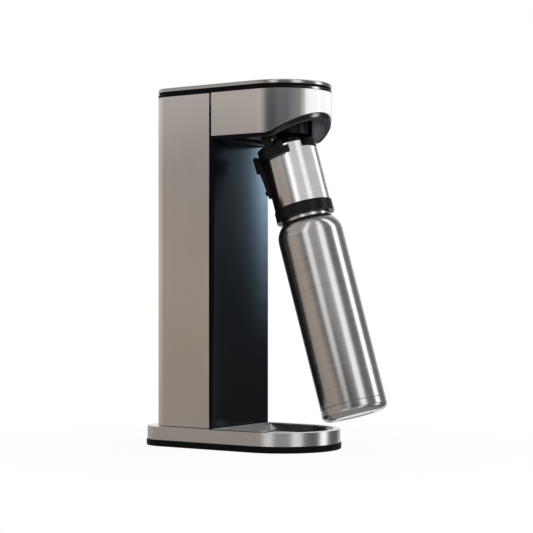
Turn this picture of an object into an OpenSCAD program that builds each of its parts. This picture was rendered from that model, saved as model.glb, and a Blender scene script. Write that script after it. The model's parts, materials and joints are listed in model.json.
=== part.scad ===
// Sparkling water maker with a tilting bottle cradle and a press-down lid.
// Frame: +Z up, front towards -Y, origin at the centre of the underside, millimetres.

/* [Base] */
// Width of the steel base
base_w = 134; // [131:1:140]
// Length of the steel base
base_len = 230; // [224:1:240]
// Radius of the base's two rear corners
base_r = 32; // [27:1:36]
// Height of the black foot band
foot_h = 7.5; // [6.5:0.25:8.5]
// How far the foot stands out past the steel
foot_proud = 1; // [0.5:0.25:1.5]
// Height of the base's top face above the table
base_top = 23; // [22.5:0.25:25]
// Width of the rim round the dish
rim_w = 8; // [6.5:0.25:10]
// Depth of the dish below the rim
dish_depth = 11; // [8:0.5:12]

/* [Column] */
// Width of the column and the head
body_w = 114; // [112:1:118]
// Radius of the column's two rear corners
body_r = 24; // [20:1:28]
// Base showing in front of the head's tip
front_margin = 10.3; // [9:0.1:12]
// Base showing behind the column
back_margin = 12.6; // [10:0.1:14]
// Depth of the column behind its seam
column_depth = 87.9; // [86.5:0.1:89]
// Width of that seam
seam_w = 3; // [2:0.25:4]
// Thickness of the glossy front panel
panel_t = 3; // [2.5:0.25:3.5]
// Radius of the front panel's upright edges
panel_r = 2.6; // [1.5:0.1:2.9]
// Thickness of the steel skins
skin_t = 1.2; // [0.8:0.1:1.5]

/* [Head] */
// Upper edge of the head's skin
head_top = 410; // [395:1:425]
// Height of the head's skin beside the column
head_h = 50; // [48:0.25:51]
// Length of the rising underside behind the tip
ramp_len = 41.2; // [37:0.1:44]
// Slope of the rising underside
ramp_deg = 31; // [27:0.5:33]
// Radius of the bend at the start of the slope
ramp_bend = 25; // [15:1:35]
// Thickness of the black underside
soffit_t = 4.5; // [3:0.25:5]
// Rim left beside the recess in the underside
recess_side = 6; // [4.5:0.25:8]
// Rim left in front of the recess
recess_rim = 6; // [5:0.25:9]
// Underside left behind the recess
recess_gap = 16; // [12:0.5:18]
// Outer radius of the black housing round the gas outlet
housing_r = 24; // [20:0.25:26]

/* [Lid] */
// Thickness of the black trim ring
trim_h = 3; // [2.5:0.25:3.5]
// Width of the black trim ring
trim_w = 7; // [5.5:0.25:7]
// Open gap between trim ring and lid
lid_gap = 2.6; // [2.4:0.1:3]
// Thickness of the steel lid
lid_t = 4.4; // [3.5:0.1:6]
// Diameter of the lid's guide posts
post_d = 8; // [6:0.25:9]
// Diameter of the press rod
rod_d = 8; // [6:0.25:9]
// Wire of the return spring
spring_wire = 1.4; // [1:0.1:1.6]
// Mean diameter of the return spring
spring_d = 15; // [14:0.25:18]
// Turns of the return spring
spring_turns = 5; // [4:1:5]

/* [Gas] */
// Diameter of the gas cylinder
cyl_d = 60; // [56:1:62]
// Distance of the cylinder's axis from the column's back
cyl_setback = 42.4; // [40.4:0.1:44.4]
// Wall of the gas cylinder
cyl_wall = 3; // [2:0.25:5]
// Room above the cylinder's shoulder for its neck and valve
cyl_room = 80; // [79:0.5:95]
// Diameter of the threaded valve spigot
spigot_d = 20.8; // [18:0.2:21]
// Diameter of the valve's pin
valve_pin_d = 4; // [3:0.25:5]
// Outer diameter of the gas tube
tube_d = 5; // [4:0.25:5]

/* [Cradle] */
// Distance of the tilt axis from the head's tip
pivot_setback = 50.7; // [49.2:0.1:51.7]
// Drop of the tilt axis below the head's lower edge
pivot_drop = 5; // [4:0.25:6]
// Tilt of the bottle as shown
tilt_deg = 16.5; // [12:0.25:17]
// Diameter of the tilt pins
tilt_pin_d = 6; // [4:0.25:7]
// Outer radius of the black yoke
yoke_r = 36.5; // [36:0.1:37]
// Half angle of the yoke's open front
yoke_open = 69; // [62:1:75]
// Lower edge of the yoke below the axis
yoke_low = 21; // [18:0.5:24]
// Outer radius of the steel sleeve
sleeve_r = 32; // [31.5:0.1:32]
// Half angle covered by the steel sleeve
sleeve_half = 110; // [100:1:114]
// Top of the infuser below the axis
infuser_top = 9.5; // [9.5:0.1:10.5]
// Lower end of the infuser's sleeve below the axis
sleeve_end = 79.4; // [77:0.1:80]
// Outer radius of the bottle collar
collar_r = 33.3; // [32.5:0.1:34]
// Lower edge of the bottle collar below the axis
collar_end = 92.4; // [91:0.1:93]
// How far the collar's rear foot hangs lower
foot_drop = 1; // [0.5:0.25:2]
// Radius of the round gas inlet
dome_r = 15; // [13.5:0.1:15.2]
// Diameter of the release lever's pin
lever_pin_d = 3; // [2:0.1:3.2]
// Diameter of the vent knob
knob_d = 17; // [15:0.25:18]
// Distance of the vent knob from the axis
knob_y = 25.5; // [25:0.1:27]
// Outer diameter of the dip tube
dip_d = 7; // [6:0.25:8]
// Lower end of the dip tube below the axis
dip_end = 200; // [170:1:240]

/* [Bottle] */
// Outer radius of the bottle
bottle_r = 37.6; // [36.6:0.1:38.4]
// Clearance under the bottle when it hangs upright
bottle_clear = 4.8; // [4:0.1:12]
// Wall of the bottle
bottle_wall = 1; // [0.8:0.1:1.5]
// Shoulder of the bottle below the axis
shoulder_w = 116; // [114:0.5:120]
// Foot of the bottle's neck below the axis
neck_w = 95; // [94.5:0.25:96.5]
// Radius of the bottle's neck
neck_r = 25.3; // [24.8:0.1:25.3]
// Height of the bottle's base cup
cup_h = 14.5; // [11:0.25:18]
// Radius of the base cup's lower edge
cup_r = 8; // [6:0.25:10]
// Wall of the base cup
cup_wall = 2; // [1.2:0.1:2.5]

/* [Fits] */
// Gap round the sliding rear cover
cover_gap = 0.4; // [0.3:0.05:0.6]
// Radial clearance of pins, posts and the valve spigot
pin_fit = 0.08; // [0.03:0.01:0.1]
// Gap between the inlet dome and its seal
dome_gap = 0.35; // [0.3:0.05:0.5]
// Gap between a pressed part and the part it presses
press_gap = 0.3; // [0.2:0.05:0.5]

/* [Hidden] */
fine = 96;
eps = 0.01;
base_tip = -base_len / 2;
base_back = base_len / 2;
body_tip = base_tip + front_margin;
body_back = base_back - back_margin;
far = base_len + head_top;
seam_y = body_back - column_depth;
head_low = head_top - head_h;
ramp_y = body_tip + ramp_len;
recess_front = body_tip + recess_rim;
recess_x = body_w / 2 - recess_side;
cyl_y = body_back - cyl_setback;
cyl_shoulder = head_top - cyl_room;
pivot_y = body_tip + pivot_setback;
pivot_z = head_low - pivot_drop;
bottle_end = pivot_z - base_top - bottle_clear;
cover_y = seam_y + seam_w / 2;
skin_y = seam_y - seam_w / 2;
panel_y = skin_y - panel_t;
recess_back = panel_y - recess_gap;
panel_back = cover_y + 1.5;
plate_z = 2.5;
trim_z = head_top;
lid_z = head_top + trim_h + lid_gap;
deck_z = head_top - 14;
deck_t = 4;
deck_top = deck_z + deck_t;
dish_z = base_top - dish_depth;
frame_x = body_w / 2 - 5;
frame_t = 2.5;
frame_y = panel_back;
frame_back = cyl_y;
seat_z = 10;
cyl_z = seat_z + 0.4;
cyl_neck_z = cyl_shoulder + cyl_d / 2 - 11;
valve_z = cyl_neck_z + 7;
spigot_z = valve_z + 6;
spigot_top = spigot_z + 22;
pin_top = spigot_top + 2.5;
block_z = spigot_z + 2;
tube_z = deck_z - 7;
ear_in = yoke_r + 0.7;
ear_t = 3;
bayonet_top = 84.4;
bayonet_low = 88.6;
mouth_w = 74;
throat_r = neck_r - 1.8;
lever_y = 34.2;
lever_w = 53;
shoulder_dr = bottle_r - neck_r;
shoulder_dw = shoulder_w - neck_w;
shoulder_r = (shoulder_dr * shoulder_dr + shoulder_dw * shoulder_dw) / (2 * shoulder_dr);
post_front = 24.7;
post_rear = 24.4;
post_x = body_w / 2 - 21;
post_spots = [[0, body_tip + post_front], [-post_x, body_back - post_rear], [post_x, body_back - post_rear]];
edge_steps = 8;
edge_yc = ramp_y + ramp_bend * tan(ramp_deg / 2);

steel = [0.72, 0.70, 0.68];
black = [0.07, 0.07, 0.08];
dark = [0.16, 0.16, 0.17];
rubber = [0.10, 0.10, 0.10];
brass = [0.80, 0.65, 0.30];
alloy = [0.78, 0.79, 0.80];

// Plan with a half-round front and two rounded rear corners, drawn g inside the given edge
module plan(w, tip, back, r, g) {
    hw = w / 2 - g;
    rr = r - g;
    yc = tip + w / 2;
    yb = back - g;
    intersection() {
        translate([0, yc])
            circle(r = hw, $fn = fine);
        translate([-hw - 1, yc - hw - 1])
            square([2 * hw + 2, hw + 6]);
    }
    translate([-hw, yc])
        square([2 * hw, yb - rr - yc]);
    translate([-hw + rr, yb - rr])
        square([2 * hw - 2 * rr, rr]);
    for (s = [-1, 1])
        translate([s * (hw - rr), yb - rr])
            circle(r = rr, $fn = fine);
}

module body_plan(g) {
    plan(body_w, body_tip, body_back, body_r, g);
}

module base_plan(g) {
    plan(base_w, base_tip, base_back, base_r, g);
}

module body_ring(g0, g1, z0, z1) {
    translate([0, 0, z0])
        linear_extrude(z1 - z0)
            difference() {
                body_plan(g0);
                body_plan(g1);
            }
}

// Side profile drawn in Y and Z, made w wide along X
module side_prism(pts, w) {
    rotate([90, 0, 90])
        linear_extrude(w, center = true)
            polygon(pts);
}

// Everything below the head's lower edge, d lower than the edge itself
function edge_pts(d) = concat(
    [[body_back, head_low - d]],
    [for (i = [0 : edge_steps])
        let (a = ramp_deg * i / edge_steps)
        [edge_yc - (ramp_bend + d) * sin(a), head_low + ramp_bend - (ramp_bend + d) * cos(a)]],
    [[edge_yc - (ramp_bend + d) * sin(ramp_deg) - body_w * cos(ramp_deg),
        head_low + ramp_bend - (ramp_bend + d) * cos(ramp_deg) + body_w * sin(ramp_deg)]]);

module below_edge(d) {
    p = edge_pts(d);
    last = p[len(p) - 1];
    side_prism(concat(p, [[last[0], head_low - head_h], [body_back, head_low - head_h]]), far);
}

// Cylinder along X, centred on x = 0 unless moved
module x_rod(r, len) {
    rotate([0, 90, 0])
        cylinder(r = r, h = len, center = true, $fn = 48);
}

// Sector of half angle a about the front
module front_sector(a, z0, z1) {
    pts = [for (i = [0 : 12]) let (t = -a + a * i / 6) [130 * sin(t), -130 * cos(t)]];
    translate([0, 0, z0])
        linear_extrude(z1 - z0)
            polygon(concat([[0, 0]], pts));
}

// Frame of the cradle: local Z runs up the bottle's axis from the tilt axis
module cradle() {
    translate([0, pivot_y, pivot_z])
        rotate([-tilt_deg, 0, 0])
            children();
}

module tube(r1, r0, z0, z1) {
    translate([0, 0, z0])
        linear_extrude(z1 - z0)
            difference() {
                circle(r = r1, $fn = fine);
                circle(r = r0, $fn = fine);
            }
}

module foot_pad() {
    color(rubber)
        difference() {
            linear_extrude(foot_h)
                base_plan(-foot_proud);
            translate([0, 0, plate_z])
                linear_extrude(foot_h)
                    base_plan(3);
        }
}

screw_x = base_w / 2 - 17;
screw_ys = [base_back - 35, base_back - 91];
base_screw_spots = [for (y = screw_ys) each [[-screw_x, y], [screw_x, y]]];

module base_plate() {
    color(dark)
        difference() {
            union() {
                translate([0, 0, plate_z])
                    linear_extrude(foot_h - plate_z)
                        base_plan(3.2);
                for (p = base_screw_spots)
                    translate([p[0], p[1], foot_h - eps])
                        cylinder(d = 11, h = base_top - skin_t - foot_h + eps, $fn = 48);
            }
            for (p = base_screw_spots)
                translate([p[0], p[1], plate_z - 1]) {
                    cylinder(d = 4.2, h = 13, $fn = 32);
                    cylinder(d = 8.4, h = 4, $fn = 32);
                }
        }
}

module base_screws() {
    color(alloy)
        for (p = base_screw_spots)
            translate([p[0], p[1], 0]) {
                translate([0, 0, plate_z + 0.4])
                    cylinder(d = 8, h = 2.4, $fn = 32);
                translate([0, 0, plate_z + 2.7])
                    cylinder(d = 4, h = 8.6, $fn = 32);
            }
}

module dish_plan(g) {
    r = base_w / 2 - rim_w - g;
    yc = base_tip + base_w / 2;
    difference() {
        union() {
            translate([0, yc])
                circle(r = r, $fn = fine);
            translate([-r, yc])
                square([2 * r, panel_y - 0.5 - g - yc]);
        }
        translate([-far / 2, panel_y - 0.5 - g])
            square(far);
    }
}

module base_shell() {
    color(steel)
        difference() {
            translate([0, 0, foot_h])
                linear_extrude(base_top - foot_h)
                    base_plan(0);
            translate([0, 0, foot_h - 1])
                linear_extrude(base_top - skin_t - foot_h + 1)
                    base_plan(skin_t);
            translate([0, 0, base_top - 5])
                linear_extrude(10)
                    dish_plan(0);
            translate([0, cyl_y, base_top - 5])
                cylinder(d = cyl_d + 12, h = 10, $fn = fine);
        }
}

module drip_dish() {
    top = base_top - skin_t;
    color(steel)
        difference() {
            union() {
                translate([0, 0, dish_z - skin_t])
                    linear_extrude(top - dish_z + skin_t)
                        dish_plan(-skin_t);
                translate([0, 0, top - 1.2])
                    linear_extrude(1.2)
                        dish_plan(-4.5);
            }
            translate([0, 0, dish_z])
                linear_extrude(20)
                    dish_plan(0);
        }
}

module spine_frame() {
    color(dark)
        difference() {
            translate([-frame_x, frame_y, base_top])
                cube([2 * frame_x, frame_back - frame_y, deck_z - base_top]);
            translate([-frame_x + frame_t, frame_y + frame_t, base_top - 1])
                cube([2 * frame_x - 2 * frame_t, far, deck_z]);
            translate([0, frame_y + 10, tube_z])
                rotate([90, 0, 0])
                    cylinder(d = tube_d + 3, h = 30, center = true, $fn = 32);
        }
}

module panel_plan() {
    hw = body_w / 2;
    difference() {
        union() {
            translate([-hw + panel_r, panel_y])
                square([2 * hw - 2 * panel_r, panel_t]);
            translate([-hw, panel_y + panel_r])
                square([2 * hw, panel_t - panel_r]);
            for (s = [-1, 1])
                translate([s * (hw - panel_r), panel_y + panel_r])
                    circle(r = panel_r, $fn = 48);
        }
        translate([-far / 2, skin_y])
            square(far);
    }
}

module front_panel() {
    strip_x = body_w / 2 - 2.5;
    color(black)
        union() {
            translate([0, 0, base_top])
                linear_extrude(head_low - base_top)
                    panel_plan();
            for (s = [-1, 1])
                translate([s * (strip_x - 3.5) - 3.5, skin_y - eps, base_top])
                    cube([7, panel_back - skin_y + eps, deck_z - base_top]);
        }
}

module cylinder_seat() {
    color(dark)
        translate([0, cyl_y, 0])
            difference() {
                translate([0, 0, foot_h])
                    cylinder(d = cyl_d + 9, h = 22, $fn = fine);
                translate([0, 0, seat_z])
                    cylinder(d = cyl_d + 1.2, h = 40, $fn = fine);
            }
}

module valve_block() {
    color(alloy)
        difference() {
            translate([-22, cyl_y - 24, block_z])
                cube([44, 44, deck_z - block_z]);
            translate([0, cyl_y, block_z - 1])
                cylinder(d = spigot_d + 2 * pin_fit, h = pin_top + 1 - block_z + 1, $fn = fine);
            translate([0, cyl_y, block_z])
                cylinder(d = rod_d + 1, h = far, $fn = 48);
            translate([0, cyl_y - 20, tube_z])
                rotate([90, 0, 0])
                    cylinder(d = tube_d + 0.1, h = 20, $fn = 32);
        }
}

module gas_tube() {
    color(rubber)
        translate([0, cyl_y - 20.2, tube_z])
            rotate([90, 0, 0])
                difference() {
                    cylinder(d = tube_d, h = cyl_y - 20.2 - pivot_y - 6.2, $fn = 32);
                    translate([0, 0, -1])
                        cylinder(d = tube_d - 2, h = far, $fn = 32);
                }
}

module head_chassis() {
    color(dark)
        difference() {
            union() {
                translate([0, 0, deck_z])
                    linear_extrude(deck_t)
                        body_plan(skin_t + 1.3);
                body_ring(skin_t + 1.3, skin_t + 3.8, deck_top - eps, head_top);
                for (p = post_spots)
                    translate([p[0], p[1], deck_top - eps])
                        cylinder(d = post_d + 5, h = 6, $fn = 48);
            }
            for (p = post_spots)
                translate([p[0], p[1], deck_z - 1])
                    cylinder(d = post_d + 2 * pin_fit, h = 30, $fn = 48);
            translate([0, cyl_y, deck_z - 1])
                cylinder(d = rod_d + 1, h = 30, $fn = 48);
        }
}

module head_skin() {
    color(steel)
        difference() {
            body_ring(0, skin_t, head_low - 1, head_top);
            translate([-far / 2, skin_y, head_low - 2])
                cube(far);
            below_edge(0);
        }
}

// Recess with a half-round front and two rounded rear corners
module recess_plan(g) {
    plan(2 * recess_x, recess_front, recess_back, 10, -g);
}

module soffit() {
    color(black)
        difference() {
            intersection() {
                translate([0, 0, head_low - 10])
                    linear_extrude(head_h + 10)
                        body_plan(0.8);
                below_edge(0);
            }
            below_edge(soffit_t);
            translate([-far / 2, panel_y, 0])
                cube(far);
            linear_extrude(far)
                recess_plan(0);
        }
}

module recess_liner() {
    color(black)
        difference() {
            translate([0, 0, head_low - 5])
                linear_extrude(deck_z - head_low + 5)
                    difference() {
                        recess_plan(2);
                        recess_plan(0);
                    }
            below_edge(0);
            translate([0, recess_back, tube_z])
                rotate([90, 0, 0])
                    cylinder(d = tube_d + 1, h = 12, center = true, $fn = 32);
        }
}

module trim_ring() {
    color(black)
        body_ring(0, trim_w, trim_z, trim_z + trim_h);
}

bracket_spots = [[-30, -4], [30, -4], [-30, 8], [30, 8]];

module tilt_bracket() {
    color(black)
        difference() {
            union() {
                translate([-ear_in - ear_t, pivot_y - 9, deck_z - 3])
                    cube([2 * ear_in + 2 * ear_t, 23, 3]);
                for (s = [-1, 1])
                    translate([s * (ear_in + ear_t / 2), pivot_y, pivot_z]) {
                        x_rod(9, ear_t);
                        translate([-ear_t / 2, -9, 0])
                            cube([ear_t, 18, deck_z - 3 - pivot_z + eps]);
                    }
            }
            translate([0, pivot_y, pivot_z])
                x_rod(tilt_pin_d / 2 + pin_fit, 120);
            translate([0, pivot_y, deck_z - 10])
                cylinder(d = 20.4, h = 20, $fn = 48);
            for (p = bracket_spots)
                translate([p[0], pivot_y + p[1], deck_z - 10])
                    cylinder(d = 4.2, h = 20, $fn = 32);
        }
}

// Small rivet heads on the outer faces of the bracket's ears
module ear_rivets() {
    rivet_h = 0.8;
    color(alloy)
        for (s = [-1, 1])
            translate([s * (ear_in + ear_t + rivet_h / 2), pivot_y - 6.6, pivot_z - 1.7])
                x_rod(1.4, rivet_h);
}

module bracket_screws() {
    color(alloy)
        for (p = bracket_spots)
            translate([p[0], pivot_y + p[1], deck_z]) {
                translate([0, 0, -5.2])
                    cylinder(d = 7.5, h = 2.2, $fn = 32);
                translate([0, 0, -3.1])
                    cylinder(d = 4, h = 3, $fn = 32);
            }
}

// Round skirt that hangs from the bracket's plate and hides the nozzle
module outlet_housing() {
    color(black)
        translate([0, pivot_y, 0])
            difference() {
                tube(housing_r, housing_r - 3, pivot_z + 7.5, deck_z - 3);
                translate([0, housing_r - 1, tube_z])
                    rotate([90, 0, 0])
                        cylinder(d = tube_d + 1, h = 12, center = true, $fn = 32);
            }
}

module outlet_nozzle() {
    color(brass)
        translate([0, pivot_y, 0])
            difference() {
                union() {
                    translate([0, 0, tube_z - 6])
                        cylinder(d = 20, h = deck_z - tube_z + 6, $fn = 64);
                    translate([0, 0, pivot_z + dome_r + 4])
                        cylinder(d = 14, h = tube_z - pivot_z - dome_r - 9, $fn = 64);
                }
                translate([0, 0, pivot_z])
                    cylinder(d = 4, h = tube_z - pivot_z, $fn = 32);
                translate([0, 20, tube_z])
                    rotate([90, 0, 0])
                        cylinder(d = tube_d + 0.1, h = 14, $fn = 32);
                translate([0, 20, tube_z])
                    rotate([90, 0, 0])
                        cylinder(d = 3, h = 21, $fn = 32);
            }
}

module nozzle_seal() {
    color(rubber)
        difference() {
            translate([0, pivot_y, pivot_z + dome_r - 3])
                cylinder(d = 18, h = 7, $fn = 64);
            translate([0, pivot_y, pivot_z])
                sphere(r = dome_r + dome_gap, $fn = 64);
            translate([0, pivot_y, pivot_z])
                cylinder(d = 5, h = 40, $fn = 32);
        }
}

// One unbroken wire: rings of six points swept along a helix between deck and lid
module return_spring() {
    n = spring_turns * 8;
    z0 = deck_top + spring_wire / 2 + 0.1;
    z1 = lid_z - spring_wire / 2 - 0.1;
    pitch = (z1 - z0) / spring_turns;
    echo(least_self_gap = pitch - spring_wire);
    pts = [for (i = [0 : n]) for (k = [0 : 5])
        let (t = i * 45, q = k * 60, r = spring_d / 2 + spring_wire / 2 * cos(q))
        [r * cos(t), r * sin(t), z0 + pitch * i / 8 + spring_wire / 2 * sin(q)]];
    sides = [for (i = [0 : n - 1]) for (k = [0 : 5])
        let (a = i * 6 + k, b = i * 6 + (k + 1) % 6)
        [a, a + 6, b + 6, b]];
    tris = [for (f = sides) each [[f[0], f[1], f[2]], [f[0], f[2], f[3]]]];
    cap0 = [for (k = [0 : 5]) k];
    cap1 = [for (k = [5 : -1 : 0]) n * 6 + k];
    color(alloy)
        translate([0, cyl_y, 0])
            polyhedron(pts, concat(tris, [cap0], [cap1]));
}

module top_plate() {
    color(steel)
        difference() {
            translate([0, 0, lid_z])
                linear_extrude(lid_t)
                    body_plan(0);
            translate([0, 0, lid_z - 1])
                linear_extrude(lid_t - skin_t + 1)
                    body_plan(skin_t);
        }
}

module lid_core() {
    color(dark)
        translate([0, 0, lid_z])
            linear_extrude(lid_t - skin_t - 0.05)
                body_plan(skin_t + 0.1);
}

module lid_skirt() {
    color(black)
        difference() {
            body_ring(trim_w + 0.8, trim_w + 3, deck_top + 4, lid_z);
            for (p = post_spots)
                translate([p[0], p[1], deck_top])
                    cylinder(d = post_d + 7, h = 9, $fn = 48);
        }
}

module guide_posts() {
    color(alloy)
        for (p = post_spots)
            translate([p[0], p[1], deck_top - 1.5])
                cylinder(d = post_d, h = lid_z - deck_top + 1.5, $fn = 48);
}

module press_rod() {
    color(alloy)
        translate([0, cyl_y, pin_top + press_gap])
            cylinder(d = rod_d, h = lid_z - pin_top - press_gap, $fn = 48);
}

module valve_pin() {
    color(brass)
        translate([0, cyl_y, spigot_z])
            cylinder(d = valve_pin_d, h = pin_top - spigot_z, $fn = 32);
}

module rear_cover() {
    color(steel)
        difference() {
            body_ring(0, skin_t, base_top + cover_gap, head_top - cover_gap);
            translate([-far / 2, cover_y - far, 0])
                cube(far);
        }
}

module cover_clips() {
    x = body_w / 2 - skin_t;
    color(dark)
        for (s = [-1, 1])
            for (z = [base_top + 37, (base_top + head_top) / 2 - 6.5, head_top - 40])
                translate([s * (x - 1.2) - 1.2, panel_back + 1, z])
                    cube([2.4, 12, 16]);
}

module co2_cylinder() {
    r = cyl_d / 2;
    color(alloy)
        translate([0, cyl_y, 0])
            rotate_extrude($fn = fine)
                difference() {
                    union() {
                        translate([0, cyl_z])
                            square([r - 5, 10]);
                        translate([0, cyl_z + 5])
                            square([r, cyl_shoulder - cyl_z - 5]);
                        translate([r - 5, cyl_z + 5])
                            circle(r = 5, $fn = 48);
                        translate([0, cyl_shoulder - 1])
                            square([11, r - 10 + 1 - 1]);
                        intersection() {
                            translate([11, cyl_shoulder])
                                circle(r = r - 11, $fn = fine);
                            translate([11 - eps, cyl_shoulder - 1])
                                square([r, r]);
                        }
                        translate([0, cyl_shoulder])
                            square([12, cyl_neck_z + 7 - cyl_shoulder]);
                    }
                    translate([0, cyl_z + 6])
                        square([r - cyl_wall, cyl_shoulder - cyl_z - 6]);
                    intersection() {
                        translate([11, cyl_shoulder])
                            circle(r = r - 11 - cyl_wall, $fn = fine);
                        translate([11 - eps, cyl_shoulder - 1])
                            square([r, r]);
                    }
                    translate([0, cyl_shoulder - 1])
                        square([11, r - 11 - cyl_wall + 1]);
                    translate([0, cyl_shoulder])
                        square([7.2, 100]);
                }
}

module cylinder_valve() {
    color(brass)
        translate([0, cyl_y, 0])
            difference() {
                union() {
                    translate([0, 0, valve_z])
                        cylinder(d = 26, h = spigot_z - valve_z, $fn = 6);
                    translate([0, 0, spigot_z - eps])
                        cylinder(d = spigot_d, h = spigot_top - spigot_z + eps, $fn = fine);
                    translate([0, 0, valve_z - 16])
                        cylinder(d = 14, h = 16 + eps, $fn = 48);
                }
                translate([0, 0, spigot_z - 4])
                    cylinder(d = valve_pin_d + 2 * pin_fit, h = 60, $fn = 32);
            }
}

module tilt_yoke() {
    inner = sleeve_r + 1.15;
    cap_z = -infuser_top + 0.2;
    color(black)
        cradle()
            difference() {
                union() {
                    difference() {
                        translate([0, 0, -yoke_low])
                            cylinder(r = yoke_r, h = yoke_low + cap_z + 3, $fn = fine);
                        translate([0, 0, -yoke_low - 1])
                            cylinder(r = inner, h = yoke_low + cap_z + 1, $fn = fine);
                        front_sector(yoke_open, -yoke_low - 1, 20);
                    }
                    for (s = [-1, 1])
                        translate([s * (yoke_r - 1.5), 0, 0]) {
                            x_rod(9, 3);
                            translate([-1.5, -9, cap_z])
                                cube([3, 18, -cap_z]);
                        }
                    intersection() {
                        difference() {
                            tube(inner + 2, sleeve_r + 0.15, -20, -12.5);
                            front_sector(yoke_open - 11, -30, 0);
                        }
                        front_sector(yoke_open + 1, -30, 0);
                    }
                }
                translate([0, 0, -yoke_low])
                    cylinder(r = dome_r + 1.5, h = 60, $fn = 64);
                translate([-14, 20, -yoke_low - 1])
                    cube([28, 40, yoke_low + cap_z + 1]);
                translate([-10.8, 30.5, cap_z - 1])
                    cube([21.6, 20, 5]);
                x_rod(tilt_pin_d / 2 + 0.02, 200);
            }
}

module tilt_pins() {
    color(alloy)
        cradle()
            for (s = [-1, 1]) {
                translate([s * (ear_in + ear_t + 0.3 - 3.5), 0, 0])
                    x_rod(tilt_pin_d / 2, 7);
                translate([s * (ear_in + ear_t + 0.3 + 0.6), 0, 0])
                    x_rod(tilt_pin_d / 2 + 0.8, 1.2);
            }
}

module infuser_body() {
    core_r = sleeve_r - skin_t - 0.1;
    color(black)
        cradle()
            difference() {
                union() {
                    translate([0, 0, -sleeve_end])
                        cylinder(r = core_r, h = sleeve_end - infuser_top, $fn = fine);
                    difference() {
                        translate([0, 0, -sleeve_end])
                            cylinder(r = sleeve_r + 1, h = sleeve_end - infuser_top, $fn = fine);
                        front_sector(sleeve_half + 0.3, -100, 20);
                    }
                    for (s = [-1, 1])
                        translate([s * 12.3, 0, -lever_w]) {
                            translate([-1.5, 26, -3.2])
                                cube([3, lever_y - 26, 6.4]);
                            translate([0, lever_y, 0])
                                x_rod(3.2, 3);
                        }
                }
                translate([0, 0, -sleeve_end - 1])
                    cylinder(r = neck_r + 0.5, h = sleeve_end + 1 - 71, $fn = fine);
                translate([-16.5, -60, -infuser_top - 6.8])
                    cube([33, 46, 20]);
                translate([-10.4, 27.5, -lever_w - 7.2])
                    cube([20.8, 20, lever_w + 8]);
                translate([0, 0, -90])
                    cylinder(d = dip_d + 0.1, h = 30, $fn = 32);
                translate([0, 0, -90])
                    cylinder(d = 4, h = 100, $fn = 32);
                translate([0, -knob_y, -34])
                    cylinder(d = 5 + 2 * pin_fit, h = 40, $fn = 32);
                translate([0, lever_y, -lever_w])
                    x_rod(lever_pin_d / 2 + 0.02, 60);
            }
}

module infuser_sleeve() {
    color(steel)
        cradle()
            difference() {
                intersection() {
                    tube(sleeve_r, sleeve_r - skin_t, -sleeve_end, -infuser_top);
                    front_sector(sleeve_half, -100, 0);
                }
                front_sector(31, -infuser_top - 6.8, 0);
            }
}

module inlet_dome() {
    color(alloy)
        cradle()
            difference() {
                sphere(r = dome_r, $fn = 64);
                translate([-40, -40, -infuser_top - 40])
                    cube([80, 80, 40]);
                translate([0, 0, -20])
                    cylinder(d = 4, h = 60, $fn = 32);
            }
}

module bottle_collar() {
    color(black)
        cradle()
            union() {
                tube(collar_r, neck_r + 0.5, -collar_end, -sleeve_end);
                difference() {
                    tube(collar_r + 0.8, collar_r - 4, -collar_end - foot_drop, -sleeve_end - 1);
                    front_sector(125, -130, 0);
                }
                for (k = [0 : 2])
                    rotate([0, 0, 120 * k + 60])
                        intersection() {
                            tube(neck_r + 2, throat_r + 0.6, -bayonet_low, -bayonet_top);
                            front_sector(27, -100, -60);
                        }
            }
}

module bottle_gasket() {
    color(rubber)
        cradle()
            tube(neck_r - 1.2, 15, -mouth_w + 0.4, -71);
}

module dip_tube() {
    color(steel)
        cradle()
            translate([0, 0, -dip_end])
                linear_extrude(dip_end - 60.2)
                    difference() {
                        circle(d = dip_d, $fn = 32);
                        circle(d = dip_d - 2, $fn = 32);
                    }
}

module diffuser_tip() {
    color(alloy)
        cradle()
            difference() {
                translate([0, 0, -dip_end - 8])
                    cylinder(d = dip_d + 3, h = 16, $fn = 32);
                translate([0, 0, -dip_end])
                    cylinder(d = dip_d + 0.1, h = 20, $fn = 32);
                translate([0, 0, -dip_end - 20])
                    cylinder(d = 3, h = 40, $fn = 32);
            }
}

module lever_pin() {
    color(alloy)
        cradle()
            translate([0, lever_y, -lever_w])
                x_rod(lever_pin_d / 2, 27.4);
}

module release_lever() {
    pts = [[31.4, -59], [36.4, -59], [40.6, -27], [44.6, -26], [45.4, -7.2], [42.2, -6.4],
        [39.2, -9], [34.4, -24], [31.4, -46]];
    color(black)
        cradle()
            difference() {
                side_prism(pts, 20);
                translate([0, lever_y, -lever_w])
                    x_rod(lever_pin_d / 2 + pin_fit, 60);
            }
}

module vent_knob() {
    low = infuser_top + 6.4;
    color(black)
        cradle()
            translate([0, -knob_y, 0])
                difference() {
                    union() {
                        translate([0, 0, -low])
                            cylinder(d = knob_d, h = 9, $fn = 64);
                        translate([0, 0, -low - 14])
                            cylinder(d = 5, h = 14.5, $fn = 32);
                    }
                    for (k = [0 : 19])
                        rotate([0, 0, 18 * k])
                            translate([knob_d / 2 + 0.3, 0, -low + 1.4])
                                cylinder(d = 1.7, h = 6.2, $fn = 16);
                }
}

module bottle_profile(g, w0, w1) {
    mid = bottle_r - shoulder_r;
    translate([0, w0])
        square([bottle_r - g, -shoulder_w - w0]);
    translate([0, -shoulder_w - eps])
        square([mid, w1 + shoulder_w + eps]);
    intersection() {
        translate([mid, -shoulder_w])
            circle(r = shoulder_r - g, $fn = 192);
        translate([mid - eps, -shoulder_w - eps])
            square([shoulder_r, w1 + shoulder_w + eps]);
    }
}

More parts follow.
